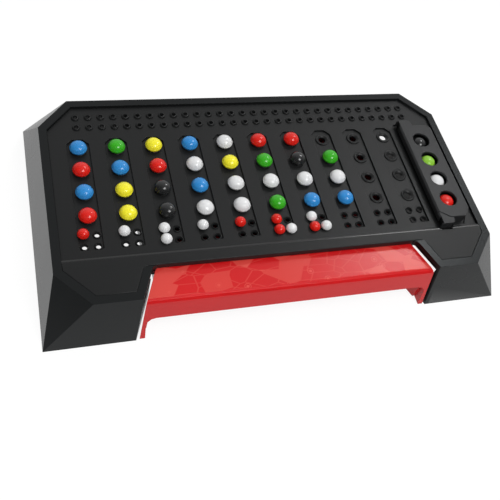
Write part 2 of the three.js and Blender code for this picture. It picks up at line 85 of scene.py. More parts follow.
def floor_material():
    material = bpy.data.materials.new("white_floor")
    material.use_nodes = True
    nodes = material.node_tree.nodes
    links = material.node_tree.links
    nodes.clear()
    matt = nodes.new("ShaderNodeBsdfDiffuse")
    matt.inputs["Color"].default_value = floor_colour
    glow = nodes.new("ShaderNodeEmission")
    glow.inputs["Strength"].default_value = floor_glow
    seen = nodes.new("ShaderNodeAddShader")
    links.new(matt.outputs[0], seen.inputs[0])
    links.new(glow.outputs[0], seen.inputs[1])
    bounce = nodes.new("ShaderNodeBsdfDiffuse")
    bounce.inputs["Color"].default_value = bounce_colour
    path = nodes.new("ShaderNodeLightPath")
    shiny = nodes.new("ShaderNodeMath")
    shiny.operation = "MAXIMUM"
    links.new(path.outputs["Is Glossy Ray"], shiny.inputs[0])
    links.new(path.outputs["Is Transmission Ray"], shiny.inputs[1])
    visible = nodes.new("ShaderNodeMath")
    visible.operation = "MAXIMUM"
    links.new(path.outputs["Is Camera Ray"], visible.inputs[0])
    links.new(shiny.outputs[0], visible.inputs[1])
    mix = nodes.new("ShaderNodeMixShader")
    links.new(visible.outputs[0], mix.inputs["Fac"])
    links.new(bounce.outputs[0], mix.inputs[1])
    links.new(seen.outputs[0], mix.inputs[2])
    output = nodes.new("ShaderNodeOutputMaterial")
    links.new(mix.outputs[0], output.inputs["Surface"])
    return material


def add_floor():
    mesh = bpy.data.meshes.new("floor")
    reach = floor_reach
    corners = [(-reach, -reach, 0), (reach, -reach, 0), (reach, reach, 0), (-reach, reach, 0)]
    mesh.from_pydata(corners, [], [(0, 1, 2, 3)])
    mesh.materials.append(floor_material())
    floor = bpy.data.objects.new("floor", mesh)
    bpy.context.scene.collection.objects.link(floor)


add_floor()

# Studio light
# A dome that is pale behind the console and dim in front of it, and three round lamps: a wide one overhead
# that the plastics don't mirror, a smaller one towards the front, and a small one behind the right end.
dome_pale_side = Vector((0.42, 0.88, 0.18))
dome_dark = (0.07, 0.07, 0.07, 1)
dome_pale = (0.86, 0.86, 0.86, 1)
dome_dark_share = 0.5
lamp_target = Vector((0, 0, 0.02))
lamps = [
    ("lamp_above", Vector((-0.15, -0.52, 1.00)), 1.30, 6.0, False),
    ("lamp_front", Vector((0.27, -0.46, 0.98)), 0.50, 5.0, True),
    ("lamp_behind", Vector((0.66, 0.49, 0.92)), 0.24, 1.8, True),
]


def add_dome():
    world = bpy.data.worlds.new("studio")
    world.use_nodes = True
    bpy.context.scene.world = world
    nodes = world.node_tree.nodes
    links = world.node_tree.links
    nodes.clear()
    place = nodes.new("ShaderNodeTexCoord")
    towards = nodes.new("ShaderNodeVectorMath")
    towards.operation = "DOT_PRODUCT"
    towards.inputs[1].default_value = dome_pale_side.normalized()
    links.new(place.outputs["Generated"], towards.inputs[0])
    share = nodes.new("ShaderNodeMapRange")
    share.inputs["From Min"].default_value = -1.0
    links.new(towards.outputs["Value"], share.inputs["Value"])
    ramp = nodes.new("ShaderNodeValToRGB")
    ramp.color_ramp.elements[0].position = dome_dark_share
    ramp.color_ramp.elements[0].color = dome_dark
    ramp.color_ramp.elements[1].color = dome_pale
    links.new(share.outputs["Result"], ramp.inputs["Fac"])
    dim = nodes.new("ShaderNodeBackground")
    links.new(ramp.outputs["Color"], dim.inputs["Color"])
    white = nodes.new("ShaderNodeBackground")
    path = nodes.new("ShaderNodeLightPath")
    mix = nodes.new("ShaderNodeMixShader")
    links.new(path.outputs["Is Camera Ray"], mix.inputs["Fac"])
    links.new(dim.outputs[0], mix.inputs[1])
    links.new(white.outputs[0], mix.inputs[2])
    white.inputs["Color"].default_value = (1, 1, 1, 1)
    output = nodes.new("ShaderNodeOutputWorld")
    links.new(mix.outputs[0], output.inputs["Surface"])


def add_lamp(name, place, size, power, mirrored):
    """A round lamp aimed at the console. Glossy surfaces show it only where it is mirrored."""
    data = bpy.data.lights.new(name, "AREA")
    data.shape = "DISK"
    data.size = size
    data.energy = power
    lamp = bpy.data.objects.new(name, data)
    lamp.location = place
    lamp.visible_glossy = mirrored
    lamp.rotation_euler = (lamp_target - place).to_track_quat("-Z", "Y").to_euler()
    bpy.context.scene.collection.objects.link(lamp)


add_dome()
for lamp_row in lamps:
    add_lamp(*lamp_row)

# Console casing
# One black moulding, open below, with flared walls and a rim. Its edges are softly rounded and its faces
# carry the fine grain of the mould.
casing_black = (0.0112, 0.0119, 0.0122)
casing_roughness = 0.27
casing_edge = 0.0003
casing_gloss = 0.15
casing_tint = (0.92, 0.98, 1.0, 1)
plain_gloss = 0.5
grain_scale = 2600.0
grain_detail = 2.0
grain_height = 0.000002
patch_scale = 28.0
patch_detail = 3.0
dull_range_share = (0.9, 1.1)
tint_range_share = (0.93, 1.07)
weld_reach = 0.00001
bevel_steps = 3
sharp_corner = math.radians(25)


def moulded(name, colour, roughness, bump=grain_height, gloss=plain_gloss):
    """A moulded plastic with a fine grain, and patches that are a little duller or paler."""
    material = bpy.data.materials.new(name)
    material.use_nodes = True
    nodes = material.node_tree.nodes
    links = material.node_tree.links
    shader = nodes["Principled BSDF"]
    shader.inputs["Specular IOR Level"].default_value = gloss
    place = nodes.new("ShaderNodeTexCoord")
    grain = nodes.new("ShaderNodeTexNoise")
    grain.inputs["Scale"].default_value = grain_scale
    grain.inputs["Detail"].default_value = grain_detail
    links.new(place.outputs["Object"], grain.inputs["Vector"])
    relief = nodes.new("ShaderNodeBump")
    relief.inputs["Distance"].default_value = bump
    links.new(grain.outputs["Fac"], relief.inputs["Height"])
    links.new(relief.outputs["Normal"], shader.inputs["Normal"])
    patches = nodes.new("ShaderNodeTexNoise")
    patches.inputs["Scale"].default_value = patch_scale
    patches.inputs["Detail"].default_value = patch_detail
    links.new(place.outputs["Object"], patches.inputs["Vector"])
    dullness = nodes.new("ShaderNodeMapRange")
    dullness.inputs["To Min"].default_value = roughness * dull_range_share[0]
    dullness.inputs["To Max"].default_value = roughness * dull_range_share[1]
    links.new(patches.outputs["Fac"], dullness.inputs["Value"])
    links.new(dullness.outputs["Result"], shader.inputs["Roughness"])
    tint = nodes.new("ShaderNodeValToRGB")
    for element, share in zip(tint.color_ramp.elements, tint_range_share):
        element.color = (*[share * part for part in colour], 1)
    links.new(patches.outputs["Fac"], tint.inputs["Fac"])
    links.new(tint.outputs["Color"], shader.inputs["Base Color"])
    return material


def dress(node, material, edge, corner_angle=sharp_corner):
    """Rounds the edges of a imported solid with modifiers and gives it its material."""
    piece = frame["nodes"][node]
    piece.data.materials.clear()
    piece.data.materials.append(material)
    weld = piece.modifiers.new("weld", "WELD")
    weld.merge_threshold = weld_reach
    round_edges = piece.modifiers.new("round_edges", "BEVEL")
    round_edges.width = edge
    round_edges.segments = bevel_steps
    round_edges.limit_method = "ANGLE"
    round_edges.angle_limit = corner_angle
    round_edges.harden_normals = True


casing_plastic = moulded("casing_plastic", casing_black, casing_roughness, grain_height, casing_gloss)
casing_plastic.node_tree.nodes["Principled BSDF"].inputs["Specular Tint"].default_value = casing_tint
dress("console_casing", casing_plastic, casing_edge)

# Deck plates
# The top is one black moulding: a front strip level with the rim, and behind the bevelled crease a sunk
# panel with ten pockets and the bay for the code cover. Here it is a floor, a panel, a front strip and the
# crease that lie against each other, with a partition below the last column.
rim_inset = 0.00435
front_corner = (0.0162, 0.0179)
back_corner = (0.0163, 0.0185)
panel_step = 0.0015
pocket_depth = 0.0010
crease_behind_front = 0.0253
lip_behind_front = 0.0181
bay_inside_rail = 0.00165
bay_splay_share = 7.3 / 18.1
deck_inset = 0.0046
deck_thickness = 0.0036
strip_edge = 0.0005
strip_round = 0.0035
panel_edge = 0.00022
pocket_half = 0.00585
pocket_back_reach = 0.0069
pocket_front_reach = 0.0056
pocket_cut = 0.0032
pocket_round = 0.0009
cover_gap = 0.0006
slot_width = 0.0004
back_ear = 0.0045
front_ear = 0.0038
ear_width = 0.0085
ear_round = 0.0024
cover_back_cut = 0.0025
cover_front_cut = (0.0039, 0.0054)
cover_round = 0.0008
nail_notch = 0.0015
nail_round = 0.0007
crease_run = 0.0010
crease_fall = 0.00033
crease_sink = 0.00001
crease_edge = 0.00002
ear_recess = 0.0018
ear_recess_past = 0.0014
partition_offset = 0.0049
partition_thickness = 0.0016
code_hole = 0.0023
key_hole = 0.0015
column_count = 10
row_count = 4
deck_low, deck_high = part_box("peg_deck")
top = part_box("console_casing")[1].z
panel_top = top - panel_step
deck_bottom = top - deck_thickness
pocket_floor = panel_top - pocket_depth
top_right = deck_high.x + deck_inset
top_front = deck_low.y - deck_inset
top_back = deck_high.y + deck_inset
crease_y = top_front + crease_behind_front
lip_y = top_front + lip_behind_front
bay_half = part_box("guide_rail_right")[1].x - bay_inside_rail
cover_low, cover_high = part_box("code_cover")


def middle(node):
    low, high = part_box(node)
    return (low + high) / 2


first_peg = middle("code_peg_c1_r1")
front_peg = middle("code_peg_c1_r4")
last_peg = middle("code_peg_c8_r4")
last_peg_column = 8
column_pitch = (last_peg.x - first_peg.x) / (last_peg_column - 1)
row_pitch = (first_peg.y - front_peg.y) / (row_count - 1)
key_back_left = middle("key_peg_c6_back_left")
key_front_right = middle("key_peg_c6_front_right")
key_half = abs(key_front_right.x - key_back_left.x) / 2
key_row_y = (key_back_left.y + key_front_right.y) / 2
column_x = [first_peg.x + column_pitch * column for column in range(column_count)]
row_y = [first_peg.y - row_pitch * row for row in range(row_count)]
secret = [middle("secret_peg_r%d" % (row + 1)) for row in range(row_count)]
code_places = [(x, y) for x in column_x for y in row_y] + [(place.x, place.y) for place in secret]
key_places = [
    (x + side * key_half, key_row_y + depth * key_half)
    for x in column_x for side in (-1, 1) for depth in (-1, 1)
]
storage_count = 30
storage_left = 0.0198
storage_right = 0.0210
storage_back = 0.0114
storage_pitch_y = 0.0071
storage_pitch = (2 * top_right - storage_left - storage_right) / (storage_count - 1)
storage_places = [
    (-top_right + storage_left + storage_pitch * place, top_back - storage_back - line * storage_pitch_y)
    for place in range(storage_count) for line in (0, 1)
]


def octagon(right, front, back):
    """The outline of the top, counter-clockwise from the left end of its front side."""
    front_x, front_y = front_corner
    back_x, back_y = back_corner
    return [
        (-right + front_x, front), (right - front_x, front),
        (right, front + front_y), (right, back - back_y),
        (right - back_x, back), (-right + back_x, back),
        (-right, back - back_y), (-right, front + front_y),
    ]


def inset(outline, distance):
    """Moves every side of a convex outline inwards."""
    lines = []
    for i, (x, y) in enumerate(outline):
        next_x, next_y = outline[(i + 1) % len(outline)]
        length = math.hypot(next_x - x, next_y - y)
        normal = (-(next_y - y) / length, (next_x - x) / length)
        lines.append((normal, normal[0] * x + normal[1] * y + distance))
    points = []
    for i, ((c, d), reach) in enumerate(lines):
        (a, b), before = lines[i - 1]
        cross = a * d - b * c
        points.append(((before * d - b * reach) / cross, (a * reach - before * c) / cross))
    return points


corner_steps = 5
nearly_straight = math.radians(88)


def rounded(outline, radius, steps=corner_steps):
    """Rounds the corners of an outline. A radius can be one number or one for each corner."""
    points = []
    for i, corner in enumerate(outline):
        size = radius[i] if isinstance(radius, (list, tuple)) else radius
        here = Vector(corner)
        back = (Vector(outline[i - 1]) - here).normalized()
        ahead = (Vector(outline[(i + 1) % len(outline)]) - here).normalized()
        half = back.angle(ahead) / 2
        if size == 0 or half > nearly_straight:
            points.append(tuple(here))
            continue
        centre = here + (back + ahead).normalized() * (size / math.sin(half))
        start = here + back * (size / math.tan(half)) - centre
        sweep = start.angle_signed(here + ahead * (size / math.tan(half)) - centre)
        for step in range(steps + 1):
            turn = -sweep * step / steps
            points.append((
                centre.x + start.x * math.cos(turn) - start.y * math.sin(turn),
                centre.y + start.x * math.sin(turn) + start.y * math.cos(turn),
            ))
    return points


hole_sides = 28


def circle(x, y, radius, sides=hole_sides):
    turns = [2 * math.pi * side / sides for side in range(sides)]
    return [(x + radius * math.cos(turn), y + radius * math.sin(turn)) for turn in turns]


# A plate is drawn flat. The first of these stands it up with its thickness along y, the second along x.
along_y = Matrix.Rotation(math.pi / 2, 4, "X")
along_x = Matrix(((0, 0, 1, 0), (1, 0, 0, 0), (0, 1, 0, 0), (0, 0, 0, 1)))
plate_bevel_steps = 2
join_reach = 0.000002
smooth_corner = math.radians(40)


def plate_mesh(name, loops, low, high, edge, turn=None):
    """A flat plate with rounded edges: the first loop is its outline and the others are holes."""
    curve = bpy.data.curves.new(name, "CURVE")
    curve.dimensions = "2D"
    curve.fill_mode = "BOTH"
    curve.extrude = (high - low) / 2 - edge
    curve.bevel_depth = edge
    curve.bevel_resolution = plate_bevel_steps
    curve.offset = -edge
    for loop in loops:
        spline = curve.splines.new("POLY")
        spline.points.add(len(loop) - 1)
        for point, (x, y) in zip(spline.points, loop):
            point.co = (x, y, 0, 1)
        spline.use_cyclic_u = True
    holder = bpy.data.objects.new(name, curve)
    bpy.context.scene.collection.objects.link(holder)
    depsgraph = bpy.context.evaluated_depsgraph_get()
    mesh = bpy.data.meshes.new_from_object(holder.evaluated_get(depsgraph))
    bpy.data.objects.remove(holder)
    bpy.data.curves.remove(curve)
    mesh.transform(Matrix.Translation((0, 0, (low + high) / 2)))
    if turn:
        mesh.transform(turn)
    return mesh


def join_meshes(name, meshes):
    form = bmesh.new()
    for mesh in meshes:
        form.from_mesh(mesh)
        bpy.data.meshes.remove(mesh)
    bmesh.ops.remove_doubles(form, verts=form.verts, dist=join_reach)
    joined = bpy.data.meshes.new(name)
    form.to_mesh(joined)
    form.free()
    return joined


def add_piece(name, mesh, material, body, replaced, smooth_angle=smooth_corner):
    """Puts a finished mesh into the scene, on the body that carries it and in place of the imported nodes."""
    mesh.materials.clear()
    mesh.materials.append(material)
    mesh.shade_smooth()
    mesh.set_sharp_from_angle(angle=smooth_angle)
    piece = bpy.data.objects.new(name, mesh)
    bpy.context.scene.collection.objects.link(piece)
    weighted = piece.modifiers.new("even_flats", "WEIGHTED_NORMAL")
    weighted.keep_sharp = True
    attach(piece, body)
    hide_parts(*replaced)


def pocket(x):
    """The plan of one column's pocket, with its back corners cut off."""
    left = x - pocket_half
    right = x + pocket_half
    front = key_row_y - pocket_front_reach
    back = first_peg.y + pocket_back_reach
    outline = [
        (left, front), (right, front), (right, back - pocket_cut),
        (right - pocket_cut, back), (left + pocket_cut, back), (left, back - pocket_cut),
    ]
    return rounded(outline, pocket_round)


def cover_plan(gap, left, nail=0):
    """The plan of the code cover grown by a gap: a long plate with an ear at each end of its hinge side.
    A nail is the depth of a notch for a fingernail in front of it."""
    right = cover_high.x + gap
    front = cover_low.y + front_ear - gap
    back = cover_high.y - back_ear + gap
    ear = cover_low.x + ear_width + gap
    cut_x, cut_y = cover_front_cut
    step = [(ear, front)]
    if nail:
        step = [(ear, front - nail), (right - cut_x, front - nail)]
    outline = [
        (left, cover_low.y - gap), (ear, cover_low.y - gap), *step, (right - cut_x, front),
        (right, front + cut_y), (right, back - cover_back_cut), (right - cover_back_cut, back),
        (ear, back), (ear, cover_high.y + gap), (left, cover_high.y + gap),
    ]
    ear_corner = ear_round + gap
    step_rounds = [nail_round] * len(step)
    end_rounds = [cover_round] * 4
    return rounded(outline, [
        cover_round, ear_corner, *step_rounds, *end_rounds, nail_round, ear_corner, cover_round,
    ])


deck_plan = inset(octagon(top_right, top_front, top_back), rim_inset)
front_left, front_right, right_front, right_back, back_right, back_left, left_back, left_front = deck_plan


def notch_half(y):
    """Half the width of the notch over the drawer, which splays towards the front."""
    return bay_half + rim_inset + bay_splay_share * (lip_y - y)


recess_left = cover_low.x - slot_width
recess_right = cover_low.x + ear_width - ear_recess_past
strip_back = crease_y - crease_run
strip_plan = rounded([
    (left_front[0], strip_back), left_front, front_left,
    (-notch_half(front_left[1]), front_left[1]), (-notch_half(lip_y), lip_y),
    (notch_half(lip_y), lip_y), (notch_half(front_right[1]), front_right[1]),
    front_right, right_front, (right_front[0], strip_back),
    (recess_right, strip_back), (recess_right, crease_y - ear_recess),
    (recess_left, crease_y - ear_recess), (recess_left, strip_back),
], [0, 0, 0, 0, strip_round, strip_round, 0, 0, 0, 0, 0, 0, 0, 0])
crease_section = [
    (strip_back - crease_run, deck_bottom), (crease_y, deck_bottom), (crease_y, top - crease_fall),
    (strip_back, top - crease_sink), (strip_back - crease_run, top - crease_sink),
]
panel_plan = [
    (left_front[0], crease_y), (right_front[0], crease_y), right_back, back_right, back_left, left_back,
]
cover_bay = cover_plan(cover_gap, cover_low.x - slot_width - cover_gap, nail_notch)
bay_clear = [(x, max(y, crease_y + panel_edge)) for x, y in cover_bay]
floor_holes = [circle(x, y, code_hole + panel_edge) for x, y in code_places]
floor_holes += [circle(x, y, key_hole + panel_edge) for x, y in key_places + storage_places]
panel_holes = [pocket(x) for x in column_x] + [bay_clear]
panel_holes += [circle(x, y, key_hole + panel_edge) for x, y in storage_places]
partition_left = column_x[-1] + partition_offset
partition_right = partition_left + partition_thickness
partition_front = key_row_y - pocket_front_reach
partition_plan = [
    (partition_left, partition_front), (partition_right, partition_front),
    (partition_right, first_peg.y), (partition_left, first_peg.y),
]
recess_front = crease_y - ear_recess - crease_run
recess_plan = [
    (recess_left - crease_run, recess_front), (recess_right + crease_run, recess_front),
    (recess_right + crease_run, crease_y + panel_edge), (recess_left - crease_run, crease_y + panel_edge),
]
deck_black = (0.0105, 0.0110, 0.0113)
deck_roughness = 0.42
black_gloss = 0.25
crease_roughness = 0.24
crease_gloss = 0.4
crease_grain_height = grain_height / 2
crease_smooth = math.radians(12)
deck_plastic = moulded("deck_plastic", deck_black, deck_roughness, grain_height, black_gloss)
deck_mesh = join_meshes("deck_plates", [
    plate_mesh("deck_floor", [panel_plan, *floor_holes], deck_bottom, pocket_floor, panel_edge),
    plate_mesh("deck_panel", [panel_plan, *panel_holes], pocket_floor - panel_edge, panel_top, panel_edge),
    plate_mesh("deck_strip", [strip_plan], deck_bottom, top, strip_edge),
    plate_mesh("deck_partition", [partition_plan], deck_low.z, deck_bottom + panel_edge, panel_edge),
    plate_mesh("recess_floor", [recess_plan], deck_bottom, pocket_floor - panel_edge, panel_edge),
])
add_piece("deck_plates", deck_mesh, deck_plastic, "console", ["peg_deck"])
crease_mesh = join_meshes("deck_crease", [
    plate_mesh("crease_left", [crease_section], left_front[0], recess_left, crease_edge, along_x),
    plate_mesh("crease_right", [crease_section], recess_right, right_front[0], crease_edge, along_x),
])
crease_plastic = moulded("crease_plastic", deck_black, crease_roughness, crease_grain_height, crease_gloss)
add_piece("deck_crease", crease_mesh, crease_plastic, "console", ["peg_deck"], crease_smooth)

# Collars round the holes
# Each hole has a raised ring, moulded with the deck, whose mouth is dished to guide a peg in.
code_collar = 0.0041
key_collar = 0.00215
collar_rise = 0.0007
storage_rise = 0.0009
code_bore = 0.0021
key_bore = 0.00125
storage_bore = 0.0009
collar_crown = 0.00035
storage_crown = 0.0008
mouth_share = 0.45
storage_mouth_share = 0.75
mouth_depth = 0.00063
crown_steps = 4
mouth_steps = 3
code_collar_sides = 32
key_collar_sides = 24
point_reach = 0.0000005


def ring_profile(outer, bore, foot, head, floor, crown, share):
    """Section of a collar as distance from its axis and height, all the way round."""
    crest = outer - (outer - bore) * share
    profile = [(outer, foot)]
    for step in range(crown_steps + 1):
        turn = math.pi / 2 * step / crown_steps
        profile.append((crest + (outer - crest) * math.cos(turn), head - crown * (1 - math.sin(turn))))
    for step in range(1, mouth_steps + 1):
        turn = math.pi / 2 * step / mouth_steps
        profile.append((bore + (crest - bore) * math.cos(turn), head - mouth_depth * (1 - math.cos(turn))))
    profile += [(bore, floor), ((outer + bore) / 2, floor)]
    return profile


def turned_mesh(name, profile, places, steps, closed_ring):
    """Turns a profile round an upright axis at each place. A ring closes on itself, and any other profile
    ends on the axis."""
    points = []
    faces = []
    for x, y, z in places:
        start = len(points)
        for step in range(steps):
            turn = 2 * math.pi * step / steps
            for out, up in profile:
                points.append((x + out * math.cos(turn), y + out * math.sin(turn), z + up))
        count = len(profile)
        for step in range(steps):
            here = start + step * count
            there = start + ((step + 1) % steps) * count
            last = count if closed_ring else count - 1
            for i in range(last):
                j = (i + 1) % count
                faces.append((here + i, there + i, there + j, here + j))
    mesh = bpy.data.meshes.new(name)
    mesh.from_pydata(points, [], faces)
    form = bmesh.new()
    form.from_mesh(mesh)
    bmesh.ops.remove_doubles(form, verts=form.verts, dist=point_reach)
    bmesh.ops.dissolve_degenerate(form, edges=form.edges, dist=point_reach)
    bmesh.ops.recalc_face_normals(form, faces=form.faces)
    form.to_mesh(mesh)
    form.free()
    return mesh


def add_collars(name, places, sides, outer, bore, foot, head, crown=collar_crown, share=mouth_share):
    profile = ring_profile(outer, bore, foot, head, deck_bottom, crown, share)
    mesh = turned_mesh(name, profile, [(x, y, 0) for x, y in places], sides, True)
    add_piece(name, mesh, deck_plastic, "console", ["peg_deck"])


collar_top = pocket_floor + collar_rise
collar_foot = pocket_floor - panel_edge
add_collars(
    "code_hole_collars", code_places, code_collar_sides, code_collar, code_bore, collar_foot, collar_top,
)
add_collars(
    "key_hole_collars", key_places, key_collar_sides, key_collar, key_bore, collar_foot, collar_top,
)
add_collars(
    "storage_hole_collars", storage_places, key_collar_sides, key_collar, storage_bore,
    panel_top - panel_edge, panel_top + storage_rise, storage_crown, storage_mouth_share,
)

# Guide rails, drawer tray and hinge pin
# The rails are black angles under the deck, the tray is a red box that slides on them, and the pin is a
# piece of steel wire through the hinge.
# The tray's red is much darker than the drawer front's: its own red with painted shade, for the shade under
# the deck where it shows through the holes.
tray_red_and_painted_shade = (0.32, 0.009, 0.011)
tray_roughness = 0.3
tray_edge = 0.0004
rail_edge = 0.0003
pin_grey = (0.5, 0.51, 0.52)
pin_roughness = 0.28
pin_dull_share = (0.8, 1.3)
wire_scale = 900.0
wire_stretch_share = 0.02
wire_line_height = 0.000004


def drawn_wire():
    """Steel wire with fine lines along it."""
    material = bpy.data.materials.new("pin_steel")
    material.use_nodes = True
    nodes = material.node_tree.nodes
    links = material.node_tree.links
    shader = nodes["Principled BSDF"]
    shader.inputs["Metallic"].default_value = 1.0
    shader.inputs["Base Color"].default_value = (*pin_grey, 1)
    place = nodes.new("ShaderNodeTexCoord")
    stretch = nodes.new("ShaderNodeMapping")
    stretch.inputs["Scale"].default_value = (1, wire_stretch_share, 1)
    links.new(place.outputs["Object"], stretch.inputs["Vector"])
    lines = nodes.new("ShaderNodeTexNoise")
    lines.inputs["Scale"].default_value = wire_scale
    links.new(stretch.outputs["Vector"], lines.inputs["Vector"])
    dullness = nodes.new("ShaderNodeMapRange")
    dullness.inputs["To Min"].default_value = pin_roughness * pin_dull_share[0]
    dullness.inputs["To Max"].default_value = pin_roughness * pin_dull_share[1]
    links.new(lines.outputs["Fac"], dullness.inputs["Value"])
    links.new(dullness.outputs["Result"], shader.inputs["Roughness"])
    relief = nodes.new("ShaderNodeBump")
    relief.inputs["Distance"].default_value = wire_line_height
    links.new(lines.outputs["Fac"], relief.inputs["Height"])
    links.new(relief.outputs["Normal"], shader.inputs["Normal"])
    return material


dress("guide_rail_left", casing_plastic, rail_edge)
dress("guide_rail_right", casing_plastic, rail_edge)
tray_plastic = moulded("tray_plastic", tray_red_and_painted_shade, tray_roughness)
dress("drawer_tray", tray_plastic, tray_edge)
pin = frame["nodes"]["hinge_pin"]
pin.data.materials.clear()
pin.data.materials.append(drawn_wire())

# Drawer front
# A glossy red moulding that closes the bay: a hood with a rolled nose, and a wide finger arch between two
# legs. It is fixed to the tray. Its flat top carries a print of paler shards, thin lines and rings.
front_red = (0.60, 0.010, 0.012)
print_red = (0.71, 0.080, 0.062)
front_roughness = 0.26
front_gloss = 0.3
front_grain_height = grain_height / 3
front_edge = 0.0009
front_corner_angle = math.radians(15)
print_depth = 0.0001
print_layouts = [(math.radians(24), (64.0, 118.0, 0.0)), (math.radians(-38), (60.0, 126.0, 0.0))]
print_levels = [(0.0, 0.0), (0.42, 0.5), (0.62, 0.95), (0.82, 0.7)]
line_share = 0.022
line_level = 0.4
ring_scale = (62.0, 62.0, 0.0)
ring_levels = [(0.0, 0.85), (0.05, 0.0), (0.085, 0.6), (0.11, 0.0)]
placeholder_start = 0.5


def stepped(nodes, levels):
    """A ramp that holds each level until the next one starts."""
    ramp = nodes.new("ShaderNodeValToRGB")
    ramp.color_ramp.interpolation = "CONSTANT"
    steps = ramp.color_ramp.elements
    while len(steps) < len(levels):
        steps.new(placeholder_start)
    for step, (start, _) in zip(steps, levels):
        step.position = start
    for step, (_, level) in zip(steps, levels):
        step.color = (level, level, level, 1)
    return ramp


def cells(tree, place, lean, scale, feature="F1"):
    """Many-sided cells in plan, turned and stretched."""
    layout = tree.nodes.new("ShaderNodeMapping")
    layout.inputs["Rotation"].default_value = (0, 0, lean)
    layout.inputs["Scale"].default_value = scale
    tree.links.new(place.outputs["Object"], layout.inputs["Vector"])
    pattern = tree.nodes.new("ShaderNodeTexVoronoi")
    pattern.voronoi_dimensions = "2D"
    pattern.feature = feature
    pattern.inputs["Scale"].default_value = 1.0
    tree.links.new(layout.outputs["Vector"], pattern.inputs["Vector"])
    return pattern


def levelled(tree, source, levels):
    ramp = stepped(tree.nodes, levels)
    tree.links.new(source, ramp.inputs["Fac"])
    return ramp.outputs["Color"]


def combined(tree, operation, first, second):
    both = tree.nodes.new("ShaderNodeMath")
    both.operation = operation
    tree.links.new(first, both.inputs[0])
    tree.links.new(second, both.inputs[1])
    return both.outputs[0]


def print_marks(tree, place):
    """Shards where the patches of two layouts overlap, with the layouts' lines and some rings."""
    patches = []
    lines = []
    for lean, scale in print_layouts:
        split = tree.nodes.new("ShaderNodeSeparateColor")
        tree.links.new(cells(tree, place, lean, scale).outputs["Color"], split.inputs["Color"])
        patches.append(levelled(tree, split.outputs["Red"], print_levels))
        edges = cells(tree, place, lean, scale, "DISTANCE_TO_EDGE")
        lines.append(levelled(tree, edges.outputs["Distance"], [(0.0, line_level), (line_share, 0.0)]))
    rings = levelled(tree, cells(tree, place, 0, ring_scale).outputs["Distance"], ring_levels)
    shards = combined(tree, "MINIMUM", *patches)
    thin_marks = combined(tree, "MAXIMUM", combined(tree, "MAXIMUM", *lines), rings)
    return combined(tree, "MAXIMUM", shards, thin_marks)


def add_print(material):
    """Prints the marks in a paler red on the flat top of the drawer front."""
    tree = material.node_tree
    nodes = tree.nodes
    links = tree.links
    shader = nodes["Principled BSDF"]
    ground = shader.inputs["Base Color"].links[0].from_socket
    place = nodes.new("ShaderNodeTexCoord")
    marks = print_marks(tree, place)
    height = nodes.new("ShaderNodeSeparateXYZ")
    links.new(place.outputs["Object"], height.inputs[0])
    on_top = nodes.new("ShaderNodeMath")
    on_top.operation = "GREATER_THAN"
    on_top.inputs[1].default_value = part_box("drawer_front")[1].z - print_depth
    links.new(height.outputs["Z"], on_top.inputs[0])
    colour = nodes.new("ShaderNodeMix")
    colour.data_type = "RGBA"
    links.new(combined(tree, "MULTIPLY", marks, on_top.outputs[0]), colour.inputs["Factor"])
    links.new(ground, colour.inputs["A"])
    colour.inputs["B"].default_value = (*print_red, 1)
    links.new(colour.outputs["Result"], shader.inputs["Base Color"])


front_plastic = moulded("drawer_front_plastic", front_red, front_roughness, front_grain_height, front_gloss)
add_print(front_plastic)
dress("drawer_front", front_plastic, front_edge, front_corner_angle)

# Code cover
# One black moulding: a plate with four round windows, skirts below it, and a squared barrel along its left
# edge. The barrel turns on the pin, which the deck's two round-topped lugs hold.
window_radius = 0.0051
window_sides = 48
cover_plate = 0.0016
cover_skirt = 0.0016
cover_edge = 0.0004
front_ear_drop = 0.0004
barrel_width = 0.0048
barrel_head_cut = 0.0009
barrel_foot_cut = 0.0012
barrel_round = 0.0004
lug_radius = 0.0015
lug_post = 0.0022
lug_length = 0.003
lug_inset = 0.0012
lug_gap = 0.0004
lug_steps = 16
lug_edge = 0.00015
skirt_edge = 0.00015
skin_lap = 0.0005
skin_thickness = 0.00045
skin_edge = 0.0001
plate_lap = 0.0001
plate_drop = 0.00001
bar_edge = 0.0002
middle_bar_edge = 0.0003
ear_cut = 0.0022
ear_shoulder = 0.0042
cover_black = (0.026, 0.0267, 0.0278)
cover_roughness = 0.42
cover_plastic = moulded("cover_plastic", cover_black, cover_roughness, grain_height, black_gloss)
cover_top = cover_high.z
cover_foot = cover_low.z
hinge_x = cover_low.x + barrel_width / 2
hinge_z = cover_top - barrel_width / 2
plate_front = cover_low.y + front_ear
ear_right = cover_low.x + ear_width


def barrel_section(head):
    """The section of the barrel up to a given height, with its upper left and both lower edges cut off."""
    left = cover_low.x
    right = left + barrel_width
    foot = cover_foot + lug_gap
    outline = [
        (left + barrel_foot_cut, foot), (right - barrel_foot_cut, foot), (right, foot + barrel_foot_cut),
        (right, head - cover_edge), (left + barrel_head_cut, head), (left, head - barrel_head_cut),
        (left, foot + barrel_foot_cut),
    ]
    return rounded(outline, [barrel_round, barrel_round, 0, 0, barrel_round, barrel_round, barrel_round])


def bar(name, section, from_y, to_y, edge):
    """A bar with the given section that lies along y."""
    return plate_mesh(name, [section], -to_y, -from_y, edge, along_y)


